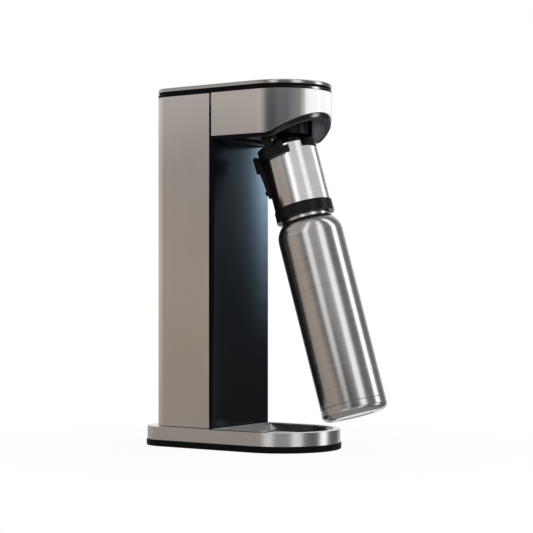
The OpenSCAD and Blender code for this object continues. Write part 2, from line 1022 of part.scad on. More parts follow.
module bottle_shell() {
    seam = -bottle_end + cup_h;
    color(steel)
        cradle()
            rotate_extrude($fn = fine)
                difference() {
                    bottle_profile(0, seam + 0.4, -neck_w);
                    bottle_profile(bottle_wall, seam + 0.4 + 1.2, -90);
                }
}

module bottle_neck() {
    color(steel)
        cradle()
            difference() {
                union() {
                    tube(neck_r, neck_r - 4, -neck_w, -bayonet_low - 0.6);
                    tube(throat_r, neck_r - 4, -neck_w, -mouth_w);
                    for (k = [0 : 2])
                        rotate([0, 0, 120 * k + 60])
                            intersection() {
                                tube(neck_r, neck_r - 4, -bayonet_top + 0.6, -mouth_w - 2);
                                front_sector(25, -100, -60);
                            }
                }
            }
}

module bottle_cup() {
    seam = -bottle_end + cup_h;
    color(steel)
        cradle()
            rotate_extrude($fn = fine)
                difference() {
                    union() {
                        translate([0, -bottle_end + cup_r])
                            square([bottle_r, cup_h - cup_r]);
                        translate([0, -bottle_end])
                            square([bottle_r - cup_r, cup_h]);
                        translate([bottle_r - cup_r, -bottle_end + cup_r])
                            circle(r = cup_r, $fn = 64);
                    }
                    translate([0, -bottle_end + cup_r])
                        square([bottle_r - cup_wall, cup_h]);
                    translate([0, -bottle_end + cup_wall])
                        square([bottle_r - cup_r, cup_h]);
                    translate([bottle_r - cup_r, -bottle_end + cup_r])
                        circle(r = cup_r - cup_wall, $fn = 64);
                    translate([0, seam])
                        square([60, 10]);
                }
}

foot_pad();
base_plate();
base_shell();
drip_dish();
base_screws();
spine_frame();
front_panel();
cylinder_seat();
valve_block();
gas_tube();
head_chassis();
head_skin();
soffit();
recess_liner();
trim_ring();
tilt_bracket();
ear_rivets();
bracket_screws();
outlet_housing();
outlet_nozzle();
nozzle_seal();
return_spring();
top_plate();
lid_core();
lid_skirt();
guide_posts();
press_rod();
valve_pin();
rear_cover();
cover_clips();
co2_cylinder();
cylinder_valve();
tilt_yoke();
tilt_pins();
infuser_body();
infuser_sleeve();
inlet_dome();
bottle_collar();
bottle_gasket();
dip_tube();
diffuser_tip();
lever_pin();
release_lever();
vent_knob();
bottle_shell();
bottle_neck();
bottle_cup();
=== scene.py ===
import json
import math

import bmesh
import bpy
from mathutils import Matrix, Vector


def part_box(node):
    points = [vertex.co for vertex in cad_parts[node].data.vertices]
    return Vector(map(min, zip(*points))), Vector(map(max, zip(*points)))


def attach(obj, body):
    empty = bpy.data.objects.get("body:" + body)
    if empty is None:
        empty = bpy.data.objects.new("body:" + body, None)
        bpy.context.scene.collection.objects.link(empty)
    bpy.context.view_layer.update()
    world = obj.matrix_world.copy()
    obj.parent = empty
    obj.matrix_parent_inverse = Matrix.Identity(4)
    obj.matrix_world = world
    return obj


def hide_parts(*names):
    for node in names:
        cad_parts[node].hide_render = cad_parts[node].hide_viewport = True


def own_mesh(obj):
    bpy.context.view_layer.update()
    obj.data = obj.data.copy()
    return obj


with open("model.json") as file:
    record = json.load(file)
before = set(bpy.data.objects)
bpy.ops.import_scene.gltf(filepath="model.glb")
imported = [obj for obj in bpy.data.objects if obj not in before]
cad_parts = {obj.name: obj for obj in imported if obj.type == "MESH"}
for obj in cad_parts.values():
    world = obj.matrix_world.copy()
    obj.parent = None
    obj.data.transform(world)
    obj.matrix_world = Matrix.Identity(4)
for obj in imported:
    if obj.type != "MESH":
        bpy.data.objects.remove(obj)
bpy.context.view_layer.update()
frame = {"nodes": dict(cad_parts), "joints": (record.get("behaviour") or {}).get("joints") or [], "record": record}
mm = 0.001
nodes = frame["nodes"]
joints = {joint["name"]: joint for joint in frame["joints"]}
pivot = Vector(joints["cradle_tilt"]["pos_m"])
boreAxis = Vector(joints["bottle_twist"]["axis"])  # runs up the bottle
tilt = math.atan2(boreAxis.y, boreAxis.z)
cradlePlace = Matrix.Translation(pivot) @ Matrix.Rotation(-tilt, 4, "X")
slotOf = {part["node"]: part["material_slot"] for part in frame["record"]["subparts"]}
bodies = frame["record"]["behaviour"]["bodies"]
bodyOf = {node: body for body, group in bodies.items() for node in group}
print("frame loaded,", len(nodes), "nodes, tilt", round(math.degrees(tilt), 2))


class Sock:
    # one socket of the material in hand; sums and products on it add Math nodes
    def __init__(self, tree, socket=None):
        self.tree, self.socket = tree, socket

    def node(self, kind, settings=None, links=None, out=0):
        item = self.tree.nodes.new(kind)
        for key, value in (settings or {}).items():
            setattr(item, key, value)
        for key, value in (links or {}).items():
            if isinstance(value, Sock):
                self.tree.links.new(value.socket, item.inputs[key])
            else:
                item.inputs[key].default_value = value
        return Sock(self.tree, item.outputs[out] if item.outputs else None)

    def math(self, operation, a, b=0.0):
        return self.node("ShaderNodeMath", {"operation": operation}, {0: a, 1: b})

    def __add__(self, other):
        return self.math("ADD", self, other)

    def __radd__(self, other):
        return self.math("ADD", other, self)

    def __sub__(self, other):
        return self.math("SUBTRACT", self, other)

    def __rsub__(self, other):
        return self.math("SUBTRACT", other, self)

    def __mul__(self, other):
        return self.math("MULTIPLY", self, other)

    def __rmul__(self, other):
        return self.math("MULTIPLY", other, self)

    def eased(self, low, high):  # 0 below low, 1 above high
        return self.node("ShaderNodeMapRange", {"interpolation_type": "SMOOTHSTEP"},
                         {"Value": self, "From Min": low, "From Max": high})

    def between(self, rise, fall):  # up over the first range, down again over the second
        return self.eased(*rise) * (1 - self.eased(*fall))

    def blend(self, a, b):  # colour a where this is 0, b where it is 1
        return self.node("ShaderNodeMix", {"data_type": "RGBA"}, {0: self, 6: a, 7: b}, out=2)

    def along(self, axis):
        return self.node("ShaderNodeSeparateXYZ", None, {0: self}, out="XYZ".index(axis))

    def noise(self, scale, detail=2.0, stretch=None):
        place = self
        if stretch:
            place = self.node("ShaderNodeMapping", None, {0: self, "Scale": stretch})
        return self.node("ShaderNodeTexNoise", None, {"Vector": place, "Scale": scale, "Detail": detail})

    def bump(self, strength, depth):
        return self.node("ShaderNodeBump", None, {"Strength": strength, "Distance": depth, "Height": self})


def startMaterial(name, onCradle=False):
    material = bpy.data.materials.new(name)
    material.use_nodes = True
    material.node_tree.nodes.clear()
    place = Sock(material.node_tree).node("ShaderNodeTexCoord", out="Object")
    if onCradle:  # turned back, so that Z runs along the bottle
        home = Matrix.Rotation(tilt, 3, "X") @ -pivot
        place = place.node("ShaderNodeMapping", None,
                           {0: place, "Location": home, "Rotation": (tilt, 0, 0)})
    return material, place


def showSurface(place, shader):
    place.node("ShaderNodeOutputMaterial", None, {"Surface": shader})


def endMaterial(material, place, links):
    showSurface(place, place.node("ShaderNodeBsdfPrincipled", None, links))
    return material


def scaled(tone, factor):
    return (tone[0] * factor, tone[1] * factor, tone[2] * factor, 1)


def varied(mask, tone, darker, lighter):  # one tone, from darker to lighter as the mask goes
    return mask.blend(scaled(tone, darker), scaled(tone, lighter))


noiseMean = 0.5
hairDepth, grainDepth = 0.02 * mm, 0.03 * mm


# satin steel: hairlines along the grain, soft cloudy handling marks
def brushedSteel(name, look):
    material, place = startMaterial(name, look.get("onCradle", False))
    fine = place.noise(1.0, 3.0, look["grain"])
    wide = place.noise(0.22, 2.0, look["grain"])
    cloud = place.noise(look.get("cloud", 16.0), 3.0)
    share, marks = look.get("wide", 0.4), look.get("marks", 0.3)
    streaks = fine * (1 - share) + wide * share
    mask = (streaks * (1 - marks) + cloud * marks).eased(0.32, 0.68)
    rough = look["rough"] + (streaks - noiseMean) * look["roughVary"] + (cloud - noiseMean) * 0.05
    return endMaterial(material, place, {
        "Base Color": varied(mask, look["tone"], 1 - look["vary"], 1 + look["vary"]),
        "Metallic": 1.0, "Roughness": rough, "Normal": fine.bump(look["bump"], hairDepth)})


# moulded black: fine spark-eroded grain, a little dust grey in the hollows
def mouldedPlastic(name, look):
    material, place = startMaterial(name)
    grain = place.noise(look["grain"], 2.0)
    cloud = place.noise(22.0, 3.0)
    mask = (grain * 0.5 + cloud * 0.5).eased(0.3, 0.7)
    rough = look["rough"] + (cloud - noiseMean) * 0.08 + (grain - noiseMean) * 0.06
    return endMaterial(material, place, {
        "Base Color": varied(mask, look["tone"], 0.8, 1.25), "Roughness": rough, "IOR": look["ior"],
        "Normal": grain.bump(look["bump"], grainDepth)})


# polished black: deep coat with faint orange peel and dust
def glossBlack(name, look):
    material, place = startMaterial(name)
    peel = place.noise(160.0, 1.0)
    dust = place.noise(900.0, 2.0).eased(0.66, 0.8)
    cloud = place.noise(9.0, 3.0)
    rough = look["rough"] + (cloud - noiseMean) * 0.04 + dust * 0.08
    return endMaterial(material, place, {
        "Base Color": varied(dust * 0.35, look["tone"], 1, 2.2), "Roughness": rough, "IOR": look["ior"],
        "Specular Tint": (*look["sheen"], 1), "Normal": peel.bump(0.06, hairDepth)})


# turned or drawn metal without a long grain
def plainMetal(name, look):
    material, place = startMaterial(name)
    rings = place.noise(1.0, 2.0, look["grain"])
    spots = place.noise(45.0, 3.0)
    mask = (rings * 0.5 + spots * 0.5).eased(0.3, 0.7)
    rough = look["rough"] + (spots - noiseMean) * 0.12 + (rings - noiseMean) * 0.08
    return endMaterial(material, place, {
        "Base Color": varied(mask, look["tone"], 0.9, 1.08),
        "Metallic": 1.0, "Roughness": rough, "Normal": rings.bump(0.15, hairDepth)})


plasticLooks = {
    "foot_rubber": {"tone": (0.003, 0.003, 0.0032), "grain": 700, "rough": 0.5, "bump": 0.3, "ior": 1.2},
    "inner_plastic": {"tone": (0.13, 0.135, 0.145), "grain": 600, "rough": 0.5, "bump": 0.3, "ior": 1.48},
    # lip's downward faces: rougher, and a lighter black that is painted light from the floor below
    "lip_edge": {"tone": (0.013, 0.0135, 0.0145), "grain": 700, "rough": 0.8, "bump": 0.2, "ior": 1.1},
    "lip_black": {"tone": (0.003, 0.003, 0.0032), "grain": 700, "rough": 0.2, "bump": 0.2, "ior": 1.1},
    "satin_black": {"tone": (0.006, 0.006, 0.0065), "grain": 900, "rough": 0.34, "bump": 0.15, "ior": 1.28},
    "tube_black": {"tone": (0.02, 0.02, 0.02), "grain": 500, "rough": 0.5, "bump": 0.2, "ior": 1.48},
    "seal_rubber": {"tone": (0.025, 0.025, 0.025), "grain": 500, "rough": 0.6, "bump": 0.3, "ior": 1.48},
}
steelTone, lidTone = (0.655, 0.645, 0.632), (0.50, 0.50, 0.495)
upright = (900, 900, 9)  # hairlines running up
level = (9, 9, 900)  # hairlines running round
lengthwise = (900, 9, 900)  # hairlines running front to back
steelLooks = {
    "base_steel": {"tone": steelTone, "grain": level, "vary": 0.02, "rough": 0.24, "roughVary": 0.05,
                   "bump": 0.05},
    "dish_steel": {"tone": steelTone, "grain": lengthwise, "vary": 0.02, "rough": 0.23, "roughVary": 0.03,
                   "bump": 0.03},
    "skin_steel": {"tone": steelTone, "grain": upright, "vary": 0.035, "rough": 0.20, "roughVary": 0.04,
                   "bump": 0.04, "marks": 0.75, "cloud": 11.0},
    "lid_steel": {"tone": lidTone, "grain": lengthwise, "vary": 0.03, "rough": 0.20, "roughVary": 0.06,
                  "bump": 0.06},
    "sleeve_steel": {"tone": steelTone, "grain": level, "vary": 0.06, "rough": 0.20, "roughVary": 0.12,
                     "bump": 0.25, "wide": 0.15, "onCradle": True},
    "bottle_steel": {"tone": steelTone, "grain": level, "vary": 0.075, "rough": 0.22, "roughVary": 0.14,
                     "bump": 0.3, "wide": 0.15, "onCradle": True},
}
metalLooks = {
    "screw_steel": {"tone": (0.56, 0.56, 0.56), "grain": (300, 300, 60), "rough": 0.34},
    "gas_alloy": {"tone": (0.70, 0.71, 0.72), "grain": (20, 20, 500), "rough": 0.38},
    "valve_brass": {"tone": (0.78, 0.58, 0.27), "grain": (30, 30, 600), "rough": 0.28},
    "pin_steel": {"tone": (0.80, 0.80, 0.79), "grain": (400, 60, 60), "rough": 0.16},
}
glossLooks = {
    "gloss_black": {"tone": (0.003, 0.0035, 0.0045), "rough": 0.12, "ior": 1.33, "sheen": (0.70, 0.88, 1.0)},
    "trim_black": {"tone": (0.003, 0.003, 0.0035), "rough": 0.2, "ior": 1.16, "sheen": (1.0, 1.0, 1.0)},
}


def camelName(name):
    words = name.split("_")
    return words[0] + "".join(word.capitalize() for word in words[1:])


finishes = [(mouldedPlastic, plasticLooks), (brushedSteel, steelLooks), (plainMetal, metalLooks),
            (glossBlack, glossLooks)]
materials = {slot: make(camelName(slot), look) for make, looks in finishes for slot, look in looks.items()}


def dress(piece, slotName):
    piece.data.materials.clear()
    piece.data.materials.append(materials[slotName])


for name, node in nodes.items():  # nodes that stay on show
    dress(node, slotOf[name])
print("materials made:", len(materials))


def deselectAll():
    if bpy.context.object and bpy.context.object.mode != "OBJECT":
        bpy.ops.object.mode_set(mode="OBJECT")
    bpy.ops.object.select_all(action="DESELECT")


def pickOnly(piece):
    deselectAll()
    bpy.context.view_layer.objects.active = piece
    piece.select_set(True)


def editOnly(piece):
    pickOnly(piece)
    bpy.ops.object.mode_set(mode="EDIT")


def settle():  # what is picked keeps its place in its mesh, with its object at the origin
    bpy.ops.object.transform_apply(location=True, rotation=True, scale=True)


def applyModifier(piece, kind, **settings):
    pickOnly(piece)
    modifier = piece.modifiers.new(kind.lower(), kind)
    for key, value in settings.items():
        setattr(modifier, key, value)
    bpy.ops.object.modifier_apply(modifier=modifier.name)


def breakEdges(piece, width, sharp):  # rounds each edge that turns by more than this many degrees
    applyModifier(piece, "BEVEL", width=width, segments=3, limit_method="ANGLE",
                  angle_limit=math.radians(sharp), use_clamp_overlap=True)


def finishPiece(piece, standsFor, smooth=30, extra=False):  # an extra piece only takes after the node
    pickOnly(piece)
    bpy.ops.object.shade_smooth_by_angle(angle=math.radians(smooth))
    applyModifier(piece, "WEIGHTED_NORMAL", weight=90, keep_sharp=True)
    first = standsFor[0]
    dress(piece, slotOf[first])
    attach(piece, bodyOf[first])
    if not extra:
        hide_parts(*standsFor)


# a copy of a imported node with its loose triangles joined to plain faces
def mergedCopy(node):
    pickOnly(nodes[node])
    bpy.ops.object.duplicate()
    piece = bpy.context.object
    piece.name = camelName(node)
    for key in [k for k in piece.keys() if k.startswith("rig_")]:
        del piece[key]
    editOnly(piece)
    bpy.ops.mesh.select_all(action="SELECT")
    bpy.ops.mesh.remove_doubles(threshold=0.002 * mm)
    bpy.ops.mesh.dissolve_limited(angle_limit=math.radians(0.5))
    bpy.ops.object.mode_set(mode="OBJECT")
    return piece


# the same with its hard edges broken
def softCopy(node, edge):
    piece = mergedCopy(node)
    breakEdges(piece, edge, 32)
    finishPiece(piece, [node])
    return piece


softLooks = {  # how far each piece's edges are broken, in mm
    "base_plate": 0.5, "base_shell": 0.18, "spine_frame": 0.5, "front_panel": 0.12, "cylinder_seat": 0.6,
    "valve_block": 0.8, "head_chassis": 0.5, "head_skin": 0.25, "soffit": 0.9, "recess_liner": 0.4,
    "tilt_bracket": 0.4, "outlet_housing": 0.8, "outlet_nozzle": 0.4, "lid_core": 0.3, "lid_skirt": 0.4,
    "guide_posts": 0.5, "press_rod": 0.5, "rear_cover": 0.25, "cover_clips": 0.4, "cylinder_valve": 0.5,
    "tilt_yoke": 0.9, "tilt_pins": 0.3, "infuser_body": 0.5, "infuser_sleeve": 0.3, "inlet_dome": 0.3,
    "bottle_collar": 0.7, "release_lever": 0.9, "vent_knob": 0.25, "bottle_neck": 0.4, "base_screws": 0.3,
    "bracket_screws": 0.4, "diffuser_tip": 0.4,
}
soft = {node: softCopy(node, edge * mm) for node, edge in softLooks.items()}

# the lip is black outside, the liner's grey on its walls inside the recess, and rougher along its lower edge,
# where a slightly lighter black is painted light thrown up from the floor
lipLook = {"slots": ("lip_black", "inner_plastic", "lip_edge"), "frontOf": -45 * mm, "level": 0.6}
lip = soft["soffit"].data
lip.materials.clear()
for name in lipLook["slots"]:
    lip.materials.append(materials[name])
for face in lip.polygons:
    if face.center.y >= lipLook["frontOf"]:
        continue
    inward = Vector((pivot.x - face.center.x, pivot.y - face.center.y, 0))
    if abs(face.normal.z) < lipLook["level"] and face.normal.dot(inward) > 0:
        face.material_index = 1
    # downward faces: rougher, and a little lighter as painted light from the floor
    elif face.normal.z < -lipLook["level"]:
        face.material_index = 2
print("softened copies:", len(soft))


# an open line through the points, drawn out corner by corner
def drawLine(name, points):
    deselectAll()
    bpy.ops.mesh.primitive_plane_add(size=mm, location=points[0])
    piece = bpy.context.object
    piece.name = name
    settle()
    bpy.ops.object.mode_set(mode="EDIT")
    bpy.ops.mesh.select_mode(type="VERT")
    bpy.ops.mesh.select_all(action="SELECT")
    bpy.ops.mesh.merge(type="CENTER")
    for here, there in zip(points, points[1:]):
        step = Vector(there) - Vector(here)
        bpy.ops.mesh.extrude_region_move(TRANSFORM_OT_translate={"value": step})
    bpy.ops.mesh.select_all(action="SELECT")
    return piece


# the same corners, the ones with a radius turned on an arc
def roundCorners(corners, steps=6):
    line = []
    for i, (across, up, radius) in enumerate(corners):
        here = Vector((across, up))
        if not radius:
            line.append(here)
            continue
        before = (Vector(corners[i - 1][:2]) - here).normalized()
        after = (Vector(corners[(i + 1) % len(corners)][:2]) - here).normalized()
        half = before.angle(after) / 2
        middle = here + (before + after).normalized() * radius / math.sin(half)
        start = here + before * radius / math.tan(half) - middle
        end = here + after * radius / math.tan(half) - middle
        sweep = start.angle_signed(end)
        for k in range(steps + 1):
            line.append(middle + Matrix.Rotation(-sweep * k / steps, 2) @ start)
    return line


def closeMesh(capEnds):
    bpy.ops.mesh.select_all(action="SELECT")
    bpy.ops.mesh.remove_doubles(threshold=0.004 * mm)
    if capEnds:
        bpy.ops.mesh.fill_holes(sides=0)
        bpy.ops.mesh.select_all(action="SELECT")
    bpy.ops.mesh.normals_make_consistent(inside=False)
    bpy.ops.object.mode_set(mode="OBJECT")


# a profile of (inset from the edge, height, radius) taken round a plan with a half-round front
def sweptPiece(name, look, plan):
    half, corner = plan["half"], plan["corner"]
    centre, rear, inner = plan["tip"] + half, plan["back"] - corner, half - corner
    line = roundCorners(look["profile"])
    if look.get("ring"):
        line.append(line[0])
    piece = drawLine(name, [(half - inset, centre, height) for inset, height in line])
    turns = [((0, centre, 0), 180, 72), ((-inner, rear, 0), 90, 16), ((inner, rear, 0), 90, 16)]
    runs = [(0, rear - centre, 0), (2 * inner, 0, 0), (0, centre - rear, 0)]  # straight side after each turn
    for (eye, angle, steps), run in zip(turns, runs):
        bpy.ops.mesh.spin(steps=steps, angle=math.radians(angle), center=eye, axis=(0, 0, 1))
        bpy.ops.mesh.extrude_region_move(TRANSFORM_OT_translate={"value": run})
    closeMesh(not look.get("ring"))
    return piece


# a profile of (radius, height, corner radius) turned about an upright axis, then put in its place
def turnedPiece(name, look, place):
    line = roundCorners(look["profile"], look.get("steps", 8))
    piece = drawLine(name, [(radius, 0, height) for radius, height in line])
    bpy.ops.mesh.spin(steps=look.get("around", 144), angle=2 * math.pi, center=(0, 0, 0), axis=(0, 0, 1))
    closeMesh(False)
    piece.matrix_world = place
    pickOnly(piece)
    settle()
    return piece


def planOf(node, corner):
    low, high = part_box(node)
    return {"half": high.x, "tip": low.y, "back": high.y, "corner": corner}


basePlan, bodyPlan = planOf("foot_pad", 33 * mm), planOf("top_plate", 24 * mm)
skin = 1.2 * mm  # sheet steel

footTop, footFloor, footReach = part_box("foot_pad")[1].z, 2.5 * mm, 26 * mm
footLook = {"profile": [
    (footReach, 0, 0), (0, 0, 1.4 * mm), (0, footTop, 0.9 * mm), (4 * mm, footTop, 0.4 * mm),
    (4 * mm, footFloor, 0), (footReach, footFloor, 0)]}
finishPiece(sweptPiece("footPad", footLook, basePlan), ["foot_pad"])

lidLow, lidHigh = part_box("top_plate")
lidReach = 20 * mm
lidLook = {"profile": [
    (lidReach, lidHigh.z - skin, 0), (skin, lidHigh.z - skin, 0), (skin, lidLow.z, 0),
    (0, lidLow.z, 0.3 * mm), (0, lidHigh.z, 1.7 * mm), (lidReach, lidHigh.z, 0)]}
lid = sweptPiece("topPlate", lidLook, bodyPlan)
finishPiece(lid, ["top_plate"])
dress(lid, "lid_steel")

trimLow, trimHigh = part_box("trim_ring")
trimReach = 7 * mm
trimLook = {"ring": True, "profile": [
    (0, trimLow.z, 0.4 * mm), (0, trimHigh.z, 0.3 * mm),
    (trimReach, trimHigh.z, 0.3 * mm), (trimReach, trimLow.z, 0.3 * mm)]}
trimRing = sweptPiece("trimRing", trimLook, bodyPlan)
finishPiece(trimRing, ["trim_ring"])

# soft folded seal in the gap under the lid
sealFoot, sealTop = trimHigh.z + 0.04 * mm, lidLow.z - 0.1 * mm
sealFold = (sealFoot + sealTop) / 2
sealLook = {"ring": True, "keep": 0.12, "profile": [
    (0.6 * mm, sealFoot, 0), (1.3 * mm, sealFold, 0.4 * mm), (0.6 * mm, sealTop, 0.2 * mm),
    (2.0 * mm, sealTop, 0), (2.7 * mm, sealFold, 0.4 * mm), (2.0 * mm, sealFoot, 0)]}
lidSeal = sweptPiece("lidSeal", sealLook, bodyPlan)
finishPiece(lidSeal, ["foot_pad"], extra=True)
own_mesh(lidSeal)

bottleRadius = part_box("bottle_shell")[1].x
shellLook = {"wall": 1.0 * mm, "floor": -312.3 * mm, "bend": -116 * mm, "top": -95 * mm, "neck": 25.3 * mm,
             "ring": 28 * mm, "ringTop": -92.75 * mm, "ringEdge": 0.3 * mm, "fillet": 0.8 * mm,
             "play": 0.02 * mm, "steps": 27}


def onArc(hub, radius, angle):
    return hub + radius * Vector((math.cos(angle), math.sin(angle)))


# the shoulder's arc up to the neck, round the ring's top, and back down inside
def shellLines(look):
    fall, rise = bottleRadius - look["neck"], look["top"] - look["bend"]
    radius = (fall * fall + rise * rise) / (2 * fall)
    hub = Vector((bottleRadius - radius, look["bend"]))
    ring, ringTop, ringEdge, fillet = look["ring"], look["ringTop"], look["ringEdge"], look["fillet"]
    reach, across = radius + fillet, ring + fillet - hub.x  # to the eye of the hollow where the neck rises
    eye = Vector((ring + fillet, hub.y + math.sqrt(reach * reach - across * across)))
    last, top = math.acos(across / reach), math.asin(rise / radius)
    steps = [k / look["steps"] for k in range(look["steps"] + 1)]
    shoulder = [onArc(hub, radius, last * k) for k in steps]
    hollow = [onArc(eye, -fillet, last * (1 - k)) for k in steps[3::3]]
    edge = [Vector((ring, ringTop - ringEdge)), Vector((ring - ringEdge, ringTop))]
    inside = [onArc(hub, radius - look["wall"], top * k) for k in reversed(steps)]
    bore = look["neck"] + look["play"]
    seat = [Vector((bore, ringTop)), Vector((bore, inside[0].y))]
    return [(spot.x, spot.y, 0) for spot in shoulder + hollow + edge + seat + inside]


under, upper = shellLook["floor"], shellLook["floor"] + skin
shellLook["profile"] = [
    (0, under, 0), (bottleRadius, under, 0.15 * mm), *shellLines(shellLook),
    (bottleRadius - shellLook["wall"], upper, 0.9 * mm), (0, upper, 0)]
finishPiece(turnedPiece("bottleShell", shellLook, cradlePlace), ["bottle_shell"])

cupFoot, cupTop, cupInside, cupBore = -327.2 * mm, -312.7 * mm, -324.8 * mm, 35.6 * mm
cupLook = {"steps": 12, "profile": [
    (0, cupFoot + 0.8 * mm, 0), (22 * mm, cupFoot + 0.8 * mm, 0.8 * mm), (24 * mm, cupFoot, 1.2 * mm),
    (bottleRadius, cupFoot, 8.0 * mm), (bottleRadius, cupTop, 0.2 * mm), (cupBore, cupTop, 0.2 * mm),
    (cupBore, cupInside, 5 * mm), (0, cupInside, 0)]}
finishPiece(turnedPiece("bottleCup", cupLook, cradlePlace), ["bottle_cup"])

dishLook = {"edge": 0.35 * mm, "sweep": 3.5 * mm, "slope": 3.0 * mm, "segments": 8, "fold": 0.6}


# dish: the corner between wall and floor pressed to a wide radius
def pressedDish(look):
    piece = mergedCopy("drip_dish")
    low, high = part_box("drip_dish")
    floorLevel, near = low.z + skin, 0.05 * mm
    editOnly(piece)
    bpy.ops.mesh.select_mode(type="VERT")
    bpy.ops.mesh.select_all(action="DESELECT")
    mesh = bmesh.from_edit_mesh(piece.data)
    for vert in mesh.verts:
        vert.select_set(abs(vert.co.z - floorLevel) < near)
    bmesh.update_edit_mesh(piece.data)
    middle, size = (low + high) / 2, high - low
    drawIn = (1 - 2 * look["slope"] / size.x, 1 - 2 * look["slope"] / size.y, 1)
    bpy.ops.transform.resize(value=drawIn, center_override=middle)
    bpy.ops.mesh.select_all(action="DESELECT")
    bpy.ops.mesh.select_mode(type="EDGE")
    mesh = bmesh.from_edit_mesh(piece.data)
    for edge in mesh.edges:
        flat = all(abs(vert.co.z - floorLevel) < near for vert in edge.verts)
        edge.select_set(flat and len(edge.link_faces) == 2 and edge.calc_face_angle() > look["fold"])
    bmesh.update_edit_mesh(piece.data)
    bpy.ops.mesh.bevel(offset=look["sweep"], segments=look["segments"], affect="EDGES")
    bpy.ops.object.mode_set(mode="OBJECT")
    breakEdges(piece, look["edge"], 40)
    finishPiece(piece, ["drip_dish"])
    dress(piece, "dish_steel")


pressedDish(dishLook)

springLow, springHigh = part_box("return_spring")
springLook = {"wire": 0.7 * mm, "turns": 5, "sides": 12, "around": 32, "foot": 400 * mm, "keep": 0.859}


# the coil: one ring of wire wound up by a screw
def woundSpring(look):
    centre = (springLow + springHigh) / 2
    reach = springHigh.x - centre.x - look["wire"]
    rise = springHigh.z - springLow.z - 2 * look["wire"]
    deselectAll()
    bpy.ops.mesh.primitive_circle_add(vertices=look["sides"], radius=look["wire"], location=(reach, 0, 0),
                                      rotation=(math.pi / 2, 0, 0))
    piece = bpy.context.object
    piece.name = "returnSpring"
    settle()
    applyModifier(piece, "SCREW", axis="Z", angle=2 * math.pi, screw_offset=rise / look["turns"],
                  iterations=look["turns"], steps=look["around"], render_steps=look["around"],
                  use_smooth_shade=True)
    editOnly(piece)
    closeMesh(True)
    piece.location = (centre.x, centre.y, springLow.z + look["wire"])
    settle()
    finishPiece(piece, ["return_spring"], 50)
    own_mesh(piece)


woundSpring(springLook)

# rivets on the bracket's ears: one turned, the other a turned-round copy
rivetLow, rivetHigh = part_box("ear_rivets")
rivetRise = 0.8 * mm
rivetLook = {"around": 32, "profile": [
    (0, 0, 0), (1.4 * mm, 0, 0), (1.4 * mm, 0.4 * mm, 0.25 * mm), (0.7 * mm, rivetRise, 0.3 * mm),
    (0, rivetRise, 0)]}
rivetSpot = (rivetLow + rivetHigh) / 2
rivetSpot.x = rivetHigh.x - rivetRise
rivetPlace = Matrix.Translation(rivetSpot) @ Matrix.Rotation(math.pi / 2, 4, "Y")
rivet = turnedPiece("earRivetRight", rivetLook, rivetPlace)
bpy.ops.object.duplicate()
otherRivet = bpy.context.object
otherRivet.name = "earRivetLeft"
bpy.ops.transform.rotate(value=math.pi, orient_axis="Z", center_override=(0, rivetSpot.y, 0))
settle()
for piece in (rivet, otherRivet):
    finishPiece(piece, ["ear_rivets"])


def facing(azimuth):  # the way out from the part, and the right hand of someone there looking in
    turn = math.radians(azimuth)
    return Vector((math.sin(turn), -math.cos(turn), 0)), Vector((math.cos(turn), math.sin(turn), 0))


# a soft box on its stand; some light only a few pieces, as flags and cards do in a studio
def areaLamp(name, look, only=(), spare=()):
    deselectAll()
    away, toRight = facing(look["azimuth"])
    spot = away * look["reach"] + toRight * look.get("slide", 0)
    spot.z = (look["low"] + look["high"]) / 2
    bpy.ops.object.light_add(type="AREA", location=spot,
                             rotation=(math.pi / 2, 0, math.radians(look["azimuth"])))
    lamp = bpy.context.object
    lamp.name = name
    lamp.data.shape = "RECTANGLE"
    lamp.data.size, lamp.data.size_y = look["width"], look["high"] - look["low"]
    lamp.data.energy = look["glow"] * math.pi * lamp.data.size * lamp.data.size_y
    lamp.data.color = look.get("colour", (1, 1, 1))
    lamp.visible_camera = False
    if only or spare:
        group = bpy.data.collections.new(name + "Reach")
        for piece in only or spare:
            group.objects.link(piece)
        lamp.light_linking.receiver_collection = group
        for member in group.collection_objects:
            member.light_linking.link_state = "INCLUDE" if only else "EXCLUDE"


stripLooks = {  # glow is the brightness that a mirror would show
    "stripLeft": {"azimuth": -76.5, "reach": 2.3, "low": 0.36, "high": 7.0, "width": 0.66, "glow": 0.95},
    "stripFront": {"azimuth": -22, "reach": 2.3, "low": 0.42, "high": 7.0, "width": 0.84, "glow": 1.08},
    "stripRight": {"azimuth": 36, "reach": 2.3, "low": 0.42, "high": 7.0, "width": 0.72, "glow": 2.0},
}
for name, look in stripLooks.items():
    spared = [soft["head_skin"], soft["front_panel"]]
    if name == "stripRight":
        spared.append(soft["infuser_sleeve"])
    areaLamp(name, look, spare=spared)

sleeveLooks = {  # the sleeve stands higher and sees more of the room
    "sleeveLeft": {"azimuth": -62, "reach": 2.3, "low": 0.72, "high": 1.9, "width": 2.5, "glow": 0.40},
    "sleeveRight": {"azimuth": 17, "reach": 2.3, "low": 0.72, "high": 1.9, "width": 2.6, "glow": 0.60},
    "sleeveStreak": {"azimuth": 58, "reach": 2.3, "low": 0.42, "high": 4.0, "width": 0.8, "glow": 1.9},
}
for name, look in sleeveLooks.items():
    areaLamp(name, look, only=[soft["infuser_sleeve"], soft["bottle_neck"]])

